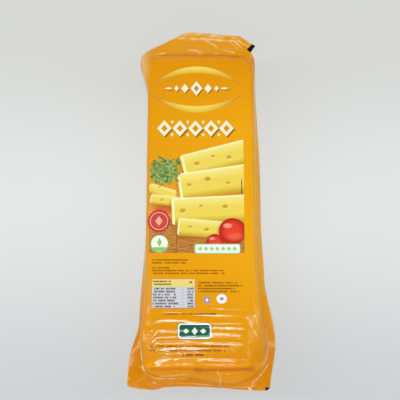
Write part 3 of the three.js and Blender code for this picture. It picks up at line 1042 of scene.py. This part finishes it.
ROW_X, ROW_Y = -4.5, 113.0
UPPER_ROW = [
    (0.0, 5.6, 7.4), (-11.0, 3.6, 4.6), (11.0, 3.6, 4.6), (-19.0, 2.2, 2.8), (19.0, 2.2, 2.8),
    (-26.5, 4.0, 1.2), (26.5, 4.0, 1.2),
]
shadow = together(lozenge(ROW_X + by + 0.9, ROW_Y - 1.0, w, h, 1.2) for by, w, h in UPPER_ROW)
colour = ink(colour, ORNAMENT_SHADOW, shadow, 0.85)
colour = ink(colour, CREAM, together(lozenge(ROW_X + by, ROW_Y, w, h) for by, w, h in UPPER_ROW))
colour = ink(colour, GOLD_BROWN, lozenge(ROW_X, ROW_Y, 2.4, 3.2), 0.9)

# A border of five lozenges.
BORDER_X, BORDER_Y, BORDER_PITCH, BORDER_SHADOW, BORDER_DOT = -5.4, 73.2, 14.6, 1.1, 6.3
across_border = repeated(X - BORDER_X, BORDER_PITCH)
across_shadow = repeated(X - (BORDER_X + BORDER_SHADOW), BORDER_PITCH)
across_dots = repeated(X - (BORDER_X + 0.5 * BORDER_PITCH), BORDER_PITCH)
on_border = block(BORDER_X, BORDER_Y, 2.5 * BORDER_PITCH, 9.0, 0.2)
on_shadow = block(BORDER_X + BORDER_SHADOW, BORDER_Y, 2.5 * BORDER_PITCH, 10.0, 0.2)
on_dots = block(BORDER_X, BORDER_Y, 2 * BORDER_PITCH, 9.0, 0.2)
shadow = lozenge(0.0, BORDER_Y - 1.2, 7.0, 8.0, 1.3, across_shadow)
colour = ink(colour, ORNAMENT_SHADOW, shadow, 0.9, on_shadow)
for paint, half_width, half_height in ((CREAM, 6.9, 7.9), (shade(222, 140, 20), 3.1, 3.6)):
    mask = lozenge(0.0, BORDER_Y, half_width, half_height, 0.25, across_border)
    colour = ink(colour, paint, mask, 1.0, on_border)
dots = together(
    lozenge(0.0, BORDER_Y + up, 1.5, 1.7, 0.25, across_dots) for up in (BORDER_DOT, -BORDER_DOT)
)
colour = ink(colour, CREAM, dots, 1.0, on_dots)

# The picture: slices of cheese with small holes, leaves, tomatoes and a board.
PICTURE_LEFT, PICTURE_RIGHT, PICTURE_BOTTOM, PICTURE_EDGE = -47.9, 39.4, -45.2, 0.15
PICTURE_TOP, PICTURE_SLOPE = 56.9, 0.249


def past_edge(value, edge, softness):
    return grade(value, edge - softness, edge + softness)


top_edge = X * PICTURE_SLOPE + PICTURE_TOP
picture = past_edge(X, PICTURE_LEFT, PICTURE_EDGE) * past_edge(X, PICTURE_RIGHT, -PICTURE_EDGE)
picture = picture * past_edge(Y, PICTURE_BOTTOM, PICTURE_EDGE)
picture = picture * past_edge(Y - top_edge, 0.0, -PICTURE_EDGE)
haze = grade(Y, 24.0, 0.0, 0.0, 0.8, "SMOOTHSTEP") * picture
colour = blend_colours(haze, colour, shade(232, 176, 78))
grain = noise(place, 900.0, 3.0, 0.6, (0.16, 1.0, 1.0))
board = blend_colours(grade(grain, 0.3, 0.7), shade(158, 92, 36), shade(208, 148, 74))
on_board = grade(Y + X * 0.12, -15.0, -19.0) * picture
colour = blend_colours(on_board, colour, board)
seams = together(block(x, -36.0, 0.35, 12.0, 0.3, -0.06, 0.5) for x in (-22.5, 11.0))
colour = ink(colour, shade(112, 58, 22), seams, 0.6, on_board)
colour = ink(colour, shade(214, 92, 44), oval(-33.0, -4.5, 12.0, 4.4, 0.0, 3.5), 0.85, picture)

# Each slice: middle, half width and height, tilt, and its holes.
SLICE_LIGHT, SLICE, SLICE_DEEP = shade(246, 232, 138), shade(234, 212, 88), shade(208, 160, 42)
SLICE_SHADOW, SLICE_RIM = shade(156, 98, 22), shade(252, 244, 186)
SLICES = [
    (-36.0, 12.0, 13.0, 4.6, -0.30, []),
    (-31.0, 3.5, 16.0, 4.6, -0.12, [(-36.0, 4.2, 1.6, 1.0), (-22.0, 2.0, 1.3, 0.8)]),
    (19.5, 45.0, 38.0, 11.5, 0.26,
     [(-4.0, 39.0, 2.8, 1.9), (11.0, 46.0, 1.9, 1.3), (26.0, 45.0, 2.5, 1.7)]),
    (15.5, 21.5, 36.5, 13.0, 0.15,
     [(-11.0, 18.5, 2.2, 1.6), (6.0, 24.0, 3.0, 2.2), (25.0, 20.5, 1.9, 1.4)]),
    (8.0, -5.0, 35.0, 12.5, 0.05,
     [(-17.0, -6.0, 2.8, 2.0), (0.0, -1.5, 1.8, 1.3), (22.0, -2.0, 2.6, 1.9)]),
    (0.0, -22.5, 21.5, 8.0, -0.08, [(-10.0, -21.0, 1.7, 1.2), (5.0, -23.5, 2.4, 1.7)]),
]
for x, y, half_width, half_height, tilt, holes in SLICES:
    shadow = block(x - 1.5, y - 2.2, half_width, half_height, 3.0, tilt, 5.0)
    colour = ink(colour, SLICE_SHADOW, shadow, 0.6, picture)
    sizes = (x, y, half_width, half_height, 2.2, tilt, 0.3)
    mask, along, up = use_group(tree, ink_block, X, Y, *sizes).values()
    cut = blend_colours(grade(up, 1.0, 0.2), SLICE_LIGHT, SLICE)
    cut = blend_colours(grade(up, -0.35, -1.0, 0.0, 1.0, "SMOOTHSTEP"), cut, SLICE_DEEP)
    if holes:
        lit_edges = together(oval(a + 0.3, b - 0.5, w, h) for a, b, w, h in holes)
        cut = ink(cut, SLICE_RIM, lit_edges)
        cut = ink(cut, SLICE_DEEP, together(oval(a, b, w, h, 0.0, 0.8) for a, b, w, h in holes))
    crust = calc("MAXIMUM", grade(along, -0.925, -0.94), grade(up, 0.86, 0.9))
    cut = blend_colours(crust, cut, SLICE_RIM)
    colour = blend_colours(mask * picture, colour, cut)

leaf_noise = noise(place, 170.0, 4.0, 0.75)
leaf_fleck = noise(place, 480.0, 4.0, 0.7)
leaf = blend_colours(grade(leaf_fleck, 0.36, 0.64), shade(44, 84, 30), shade(168, 190, 108))
leaf_rim = use_group(tree, ink_oval, X, Y, -33.0, 32.0, 16.5, 14.5, 0.0, 1.0)["Rim"]
leaf_reach = leaf_rim + (leaf_noise - 0.5) * 2.2
colour = blend_colours(grade(leaf_reach, 0.90, 0.80) * picture, colour, leaf)

TOMATO, TOMATO_DEEP, TOMATO_LIGHT = shade(228, 66, 46), shade(176, 34, 26), shade(246, 156, 132)
for x, y, radius in ((28.5, -25.0, 12.5), (12.5, -35.0, 7.6)):
    shadow = oval(x - 0.8, y - 1.4, radius, radius, 0.0, 3.5)
    colour = ink(colour, shade(96, 44, 20), shadow, 0.6, picture)
    sizes = (x, y, radius, radius * 0.97, 0.0, 0.3)
    mask, edge = use_group(tree, ink_oval, X, Y, *sizes).values()
    side = grade(edge, 0.45, 1.0, 0.0, 0.9, "SMOOTHSTEP")
    tomato = blend_colours(side, TOMATO, TOMATO_DEEP)
    shine = oval(x - 0.35 * radius, y + 0.40 * radius, 0.30 * radius, 0.16 * radius, 0.0, 1.2)
    tomato = ink(tomato, TOMATO_LIGHT, shine)
    glow = oval(x + 0.2 * radius, y - 0.4 * radius, 0.5 * radius, 0.25 * radius, 0.0, 3.0)
    tomato = ink(tomato, shade(238, 116, 84), glow, 0.6)
    colour = blend_colours(mask * picture, colour, tomato)

# The rosette, the leaf badge and the pale label over the picture.
ROSETTE, BADGE_X, BADGE_Y = (-38.7, -15.6), -38.0, -36.9
LABEL_X, LABEL_Y, LABEL_PITCH = 14.7, -41.3, 5.2
colour = ink_each(colour, [
    ((188, 58, 60), 0.94, oval, *ROSETTE, 10.9, 10.9, 18.0, 0.3),
    ((236, 176, 150), 1.0, oval, *ROSETTE, 8.4, 8.4),
    ((206, 72, 66), 1.0, oval, *ROSETTE, 7.6, 7.6),
    ((240, 178, 150), 1.0, lozenge, *ROSETTE, 3.4, 4.6),
    ((146, 194, 112), 1.0, oval, BADGE_X, BADGE_Y, 8.3, 8.3),
    ((240, 248, 228), 1.0, oval, BADGE_X, BADGE_Y + 0.5, 7.4, 7.4),
])
stem = block(BADGE_X, BADGE_Y - 4.7, 6.4, 1.8, 1.6, 0.0, 0.3)
sign = together((stem, lozenge(BADGE_X, BADGE_Y + 1.5, 2.2, 4.2)))
colour = ink(colour, shade(146, 196, 110), sign)
colour = ink_each(colour, [
    ((138, 182, 118), 1.0, block, LABEL_X, LABEL_Y, 21.0, 4.7, 2.0),
    ((232, 246, 222), 1.0, block, LABEL_X, LABEL_Y, 20.3, 4.0, 1.6),
])
across_label = repeated(X - LABEL_X, LABEL_PITCH)
row = lozenge(0.0, LABEL_Y, 2.0, 2.0, 0.25, across_label)
on_label = block(LABEL_X, LABEL_Y, 3.5 * LABEL_PITCH, 3.0)
colour = ink(colour, shade(150, 186, 140), row, 0.85, on_label)

# The panel of figures, with a pale heading and ruled rows.
PANEL_X, PANEL_HALF_WIDTH, PANEL_SPLIT, PANEL_FRAME = -25.0, 19.4, -16.4, 0.35
PANEL_TOP, PANEL_HEAD, PANEL_BOTTOM, ROW_PITCH = -68.9, -76.1, -94.8, 2.67


def between(high, low):
    """The middle and the half height between two levels of the panel."""
    return (high + low) / 2, (high - low) / 2


def panel(high, low, corner):
    middle, half = between(high, low)
    return block(PANEL_X, middle, PANEL_HALF_WIDTH, half, corner)


middle, half = between(PANEL_TOP, PANEL_BOTTOM)
framed = block(PANEL_X, middle, PANEL_HALF_WIDTH + PANEL_FRAME, half + PANEL_FRAME, 0.2)
colour = ink(colour, shade(132, 112, 88), framed)
colour = ink(colour, shade(208, 211, 216), panel(PANEL_TOP, PANEL_BOTTOM, 0.2))
colour = ink(colour, shade(232, 212, 120), panel(PANEL_TOP, PANEL_HEAD, 0.1))
from_rule = abs(repeated(Y - PANEL_HEAD, ROW_PITCH))
rules = calc(
    "MAXIMUM", grade(from_rule, 0.28, 0.10), block(PANEL_SPLIT, middle, 0.2, half, 0.05)
)
colour = ink(colour, shade(160, 164, 178), rules, 1.0, panel(PANEL_HEAD, PANEL_BOTTOM, 0.1))

# Small print: left, right, top, bottom, pitch of the rows, and seed.
SMALL_PRINT = [
    (-44.6, -10.0, -50.4, -55.6, 2.6, 3.0),
    (-44.5, -26.0, -57.6, -60.1, 2.5, 7.0),
    (-44.5, 22.0, -60.1, -65.1, 2.5, 12.0),
    (-3.0, 38.0, -71.0, -81.6, 2.65, 52.0),
    (-34.1, 23.5, -98.9, -101.6, 2.7, 63.0),
    (-45.3, 33.0, -127.3, -130.0, 2.7, 71.0),
    (-46.1, 36.0, -130.9, -133.9, 3.0, 77.0),
]
BOLD_PRINT = [
    (-43.4, -24.0, -69.9, -75.1, 2.6, 21.0),
    (-11.0, -7.0, -70.4, -73.6, 3.2, 28.0),
    (-43.4, -19.5, -76.3, -94.6, 2.67, 31.0),
    (-12.5, -6.4, -76.3, -94.6, 2.67, 45.0),
    (-17.0, 5.5, -134.8, -137.6, 2.8, 84.0),
]
UPRIGHT_PRINT = (9.0, 27.0, 38.1, 36.4, 1.7, 91.0)


def printed_rows(rows, across=X, up=Y):
    return together(use_group(tree, small_print, across, up, *row)["Mask"] for row in rows)


colour = ink(colour, shade(112, 62, 10), printed_rows(SMALL_PRINT), 0.8)
colour = ink(colour, shade(84, 60, 34), printed_rows(BOLD_PRINT), 0.95)
colour = ink(colour, shade(60, 44, 20), printed_rows([UPRIGHT_PRINT], Y, X))

# Two small marks, the green plate, the painted highlights and shade, and the sealing machine's
# marks.
LEFT_MARK, RIGHT_MARK, PLATE = (5.1, -87.7), (18.3, -86.6), (-5.9, -115.3)
NEAR_MARK, FAR_MARK = (59.9, -165.7), (49.7, 162.5)
colour = ink(colour, shade(150, 146, 168), block(*LEFT_MARK, 2.6, 3.0, 0.7))
pale = together((lozenge(*LEFT_MARK, 1.5, 1.8), oval(*RIGHT_MARK, 4.6, 4.2)))
colour = ink(colour, shade(244, 244, 240), pale)
colour = ink_each(colour, [
    ((120, 120, 132), 0.8, lozenge, *RIGHT_MARK, 2.4, 1.9),
    ((70, 96, 84), 1.0, block, *PLATE, 15.4, 7.4, 3.6),
    ((240, 244, 240), 1.0, block, *PLATE, 14.9, 6.9, 3.2),
    ((28, 92, 66), 1.0, block, *PLATE, 13.6, 5.6, 2.2),
])
row = together(lozenge(PLATE[0] + 7.6 * n, PLATE[1], 2.8, 2.4 + (n == 0)) for n in (-1, 0, 1))
colour = ink(colour, shade(226, 236, 228), row)
# Painted shade deepens the orange in the furrows and grooves, and painted highlights pale it along
# the creases, the bead and the rim.
painted_light_read = Reading(add_node(tree, "Attribute", attribute_name="film_painted_light").outputs["Fac"])
colour = blend_colours(grade(painted_light_read, 0.0, -1.0, 0.0, PAINTED_LIGHT_SHARE), colour, shade(190, 98, 0))
colour = blend_colours(grade(painted_light_read, 0.0, 1.0, 0.0, PAINTED_LIGHT_SHARE), colour, shade(255, 232, 176))
black = together((block(*NEAR_MARK, 2.6, 1.7, 0.2), block(*FAR_MARK, 5.3, 2.2, 0.2, 0.9)))
colour = ink(colour, shade(20, 18, 18), black)
finish_film(tree, shader, colour, surface)

web_mesh.materials.append(printed_film)
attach(upper_web, "root")
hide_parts("wrapped_loaf")

# ---------------------------------------------------------------------------
# The plain lower web. The same orange film, not printed, round the sides and
# the base of the block. From the seal it tapers in to the walls, in small
# gathers where it has far to go, and it lies on them with shallow creases.
# ---------------------------------------------------------------------------

BASE_RADIUS, UPRIGHT_RADIUS, WALL_INSET, SIDE_SWELL = 5.0, 9.0, 0.6, 0.9
WALL_CELL, BASE_STEPS = 1.9, 7
TAPER_DEPTH, TAPER_POWER, TAPER_DROP = 24.0, 2.0, 0.45
GATHERS = {
    "share": 0.16, "length": 2.1, "swing": 1.4, "swing_length": 7.3,
    "slack": (3.0, 6.0), "depth": 1.9, "power": 1.5,
}
CRUMPLE, CRUMPLE_TOP, CRUMPLE_FOOT, CREASE_FOOT = 0.5, (84, 66), (3, 14), (3, 9)
LOWER_FACE, INNER_FACE = 2.2 * FILM_THICKNESS, 1.2 * FILM_THICKNESS

# Creases pressed into the walls, most of them near the upright edges: each
# one's ends (run round the foot from the near left corner, height), rise and
# half width.
CREASE_COUNT, BY_UPRIGHTS, UPRIGHT_RUNS = 64, 40, (0.0, 108.0, 425.0, 520.0, 835.0)
crease_draw = np.random.default_rng(19)
WALL_CREASES = []
for n in range(CREASE_COUNT):
    if n < BY_UPRIGHTS:
        run = UPRIGHT_RUNS[n % len(UPRIGHT_RUNS)] + crease_draw.normal(0, 26)
    else:
        run = crease_draw.uniform(20, 830)
    low, tall = crease_draw.uniform(4, 50), crease_draw.uniform(14, 42)
    lean = crease_draw.normal(0, 9)
    rise = crease_draw.uniform(0.5, 1.25) * (1 if n % 3 else -0.7)
    ends = (run, low), (run + lean, min(low + tall, 76.0))
    WALL_CREASES.append((*ends, rise, crease_draw.uniform(1.1, 2.2)))


def block_outline(inset):
    side, end = {"reach": HALF_WIDTH - inset}, {"reach": HALF_LENGTH - inset}
    radius = dict.fromkeys(EDGE["radius"], np.maximum(UPRIGHT_RADIUS - inset, 0.1))
    return {"left": side, "right": side, "near": end, "far": end, "radius": radius}


def under_web(inset):
    """A ring of the lower web's outer face, close under the flange."""
    return dressed_web(np.full(rim_count, inset), rim_across, rim_along, LOWER_FACE)[0]


wall_x, wall_y = outline_points(block_outline(WALL_INSET), rim_across, rim_along)
foot_ring = under_web(FOOT_INSET)
foot_x, foot_y, foot_z = foot_ring.T
rim_step = np.hypot(*(np.roll(foot_ring, -1, 0) - foot_ring).T[:2])
rim_run = np.concatenate([[0], np.cumsum(rim_step)[:-1]])


def gathered(depth):
    """How the gathers carry the web in and out, by its depth below the foot."""
    away_from, away_over = GATHERS["slack"]
    away = np.hypot(foot_x - wall_x, foot_y - wall_y)
    slack = np.clip((away - away_from) / away_over, 0, 1)
    swing = GATHERS["swing"] * np.sin(rim_run / GATHERS["swing_length"])
    wave = np.sin(rim_run / GATHERS["length"] + swing) * GATHERS["share"] * slack
    deep = np.clip(1 - depth / (GATHERS["depth"] * TAPER_DEPTH), 0, 1)
    return wave * deep ** GATHERS["power"]


def wall_points(height):
    """The web round the block at this height."""
    middle = BLOCK_HEIGHT / 2
    bulge = SIDE_SWELL * (1 - ((height - middle) / middle) ** 2)
    x, y = outline_points(block_outline(WALL_INSET - bulge), rim_across, rim_along)
    depth = foot_z - height
    taper = np.clip(1 - depth / TAPER_DEPTH, 0, 1) ** TAPER_POWER + gathered(depth)
    level = np.full(rim_count, float(height))
    crumple = CRUMPLE * drift(rim_run, 1.6 * level, 30.0, 9, 71)
    crumple = crumple * within(height, [CRUMPLE_TOP, CRUMPLE_FOOT])
    for start, end, rise, half_width in WALL_CREASES:
        share = line_share(rim_run, level, start, end, half_width)
        crumple += rise * share * ease(*CREASE_FOOT, height)
    x, y = x + (foot_x - x) * taper, y + (foot_y - y) * taper
    out = np.hypot(x, y)
    z = np.minimum(height, foot_z - TAPER_DROP * (SEAL_HEIGHT - height) / WALL_CELL)
    return np.stack([x + crumple * x / out, y + crumple * y / out, z], -1)


def base_points(turn):
    """The rounded edge of the base, from the wall (turn 0) to flat underneath."""
    inset = WALL_INSET + BASE_RADIUS * (1 - math.cos(turn))
    x, y = outline_points(block_outline(inset), rim_across, rim_along)
    return np.stack([x, y, np.full(rim_count, BASE_RADIUS * (1 - math.sin(turn)))], -1)


rings = [under_web(inset) for inset in FLANGE_RING_INSETS]
rings += [wall_points(h) for h in np.arange(SEAL_HEIGHT - 2, BASE_RADIUS, -WALL_CELL)]
rings += [base_points(turn) for turn in np.linspace(0, math.pi / 2, BASE_STEPS)]
ring_index = np.arange(len(rings) * rim_count).reshape(-1, rim_count)
faces = []
for upper, lower in zip(ring_index[:-1], ring_index[1:]):
    faces += ring_faces(lower, upper, True)
faces.append(ring_index[-1, ::-1].tolist())
points, _, inner_faces, _ = unseen_rings(INNER_FACE, ring_index[0], ring_index.size, True)
lower_web, lower_mesh = closed_skin(
    "plain_lower_web", np.concatenate(rings + points), faces + inner_faces
)
lower_mesh.validate()
lower_mesh.update()

PLAIN_DEEP, PLAIN_LIGHT, PLAIN_SLACK = (0.86, 0.33, 0.0, 1), (0.91, 0.36, 0.002, 1), 0.9
plain_film, tree, shader = film_material("plain_orange_film", 0.38)
surface = use_group(tree, film_surface, PLAIN_SLACK)
colour = blend_colours(surface["Tone"], PLAIN_DEEP, PLAIN_LIGHT)
finish_film(tree, shader, colour, surface)

lower_mesh.materials.append(plain_film)
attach(lower_web, "root")
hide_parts("wrapped_loaf")

# ---------------------------------------------------------------------------
# The table top. A pale matt surface that the pack lies on. Its glow is painted
# light: it emits light, more in the middle, a painted pool of lamp light.
# ---------------------------------------------------------------------------

TABLE_REACH = 3.0
GLOW_NEAR, GLOW_FAR = (-0.20, 0.02, 0.0, 1.0, "SMOOTHSTEP"), (0.02, 0.20, 0.0, 1.0, "SMOOTHSTEP")
NEAR_GLOW, MIDDLE_GLOW = (0.345, 0.350, 0.362, 1), (0.505, 0.522, 0.518, 1)
FAR_GLOW = (0.430, 0.418, 0.392, 1)
PAPER_DEEP, PAPER_LIGHT = (0.235, 0.262, 0.262, 1), (0.245, 0.272, 0.272, 1)

table_mesh = bpy.data.meshes.new("table_top")
corners = [(x * TABLE_REACH, y * TABLE_REACH, 0) for x, y in ((-1, -1), (1, -1), (1, 1), (-1, 1))]
table_mesh.from_pydata(corners, [], [(0, 1, 2, 3)])
table = bpy.data.objects.new("table_top", table_mesh)
bpy.context.scene.collection.objects.link(table)
table_paint = bpy.data.materials.new("table_paint")
table_paint.use_nodes = True
tree = table_paint.node_tree
shader = tree.nodes["Principled BSDF"].inputs
place = object_place(tree)
along = Reading(add_node(tree, "SeparateXYZ", [place]).outputs["Y"])
glow = blend_colours(grade(along, *GLOW_NEAR), NEAR_GLOW, MIDDLE_GLOW)
glow = blend_colours(grade(along, *GLOW_FAR), glow, FAR_GLOW)
# Painted light: the table glows, brighter in the middle than at the near and far ends.
feed(shader["Emission Color"], glow)
feed(shader["Emission Strength"], 1.0)
grain = grade(noise(place, 6.0), 0.3, 0.7)
feed(shader["Base Color"], blend_colours(grain, PAPER_DEEP, PAPER_LIGHT))
feed(shader["Roughness"], 0.6)
table_mesh.materials.append(table_paint)

# ---------------------------------------------------------------------------
# The light: a dim, slightly cool room, and softboxes round the pack. Each has
# its place, what it is turned to, its width and depth, and its radiance.
# ---------------------------------------------------------------------------

ROOM_COLOUR, ROOM_STRENGTH = (0.95, 0.97, 1.0, 1), 0.24
SOFTBOXES = {
    "ceiling_box": ((0.0, -1.1, 2.1), (0.0, -0.9, 0.0), 2.4, 1.1, 1.25),
    "lamp_over_pack": ((-0.018, -0.29, 2.1), (-0.018, -0.29, 0.0), 0.34, 0.17, 52.0),
    "left_strip": ((-1.35, 0.0, 1.75), (0.0, 0.0, 0.1), 0.16, 2.2, 9.0),
    "right_strip": ((1.35, 0.0, 1.75), (0.0, 0.0, 0.1), 0.16, 2.2, 5.5),
    "back_strip": ((0.0, 1.75, 1.5), (0.0, 0.0, 0.1), 2.2, 0.16, 5.0),
    "left_box": ((-1.7, 0.0, 0.8), (0.0, 0.0, 0.1), 0.8, 2.2, 0.75),
    "right_box": ((1.7, 0.0, 0.8), (0.0, 0.0, 0.1), 0.8, 2.2, 0.75),
    "front_box": ((0.0, -1.9, 0.8), (0.0, 0.0, 0.1), 2.2, 0.8, 0.9),
    "back_box": ((0.0, 1.9, 0.8), (0.0, 0.0, 0.1), 2.2, 0.8, 0.6),
}
world = bpy.data.worlds.new("room")
world.use_nodes = True
room = world.node_tree.nodes["Background"].inputs
room["Color"].default_value, room["Strength"].default_value = ROOM_COLOUR, ROOM_STRENGTH
bpy.context.scene.world = world
bpy.context.scene.view_settings.view_transform = "Standard"
for name, (place, target, width, depth, radiance) in SOFTBOXES.items():
    data = bpy.data.lights.new(name, "AREA")
    data.shape = "RECTANGLE"
    data.size, data.size_y = width, depth
    data.energy = radiance * math.pi * width * depth
    softbox = bpy.data.objects.new(name, data)
    softbox.location = place
    turn = (Vector(target) - Vector(place)).to_track_quat("-Z", "Y")
    softbox.rotation_euler = turn.to_euler()
    bpy.context.scene.collection.objects.link(softbox)

# ---------------------------------------------------------------------------
# The camera. It looks down on the near end of the pack, fitted to the photo.
# The target and the distance are in millimetres from the block's middle.
# ---------------------------------------------------------------------------

CAMERA_TARGET, CAMERA_DISTANCE = np.array([-1.152, 13.109, 60.0]), 780.0
CAMERA_ELEVATION = math.radians(77)
CAMERA_SENSOR, CAMERA_LENS, CAMERA_CLIP = 36.0, 72.36, 0.05
back = np.array([0, -math.cos(CAMERA_ELEVATION), math.sin(CAMERA_ELEVATION)])
camera_data = bpy.data.cameras.new("camera")
camera_data.sensor_width, camera_data.lens = CAMERA_SENSOR, CAMERA_LENS
camera_data.clip_start = CAMERA_CLIP
camera = bpy.data.objects.new("camera", camera_data)
camera.location = (CAMERA_TARGET + block_middle + back * CAMERA_DISTANCE) * MM
camera.rotation_euler = (math.pi / 2 - CAMERA_ELEVATION, 0, 0)
bpy.context.scene.collection.objects.link(camera)
bpy.context.scene.camera = camera
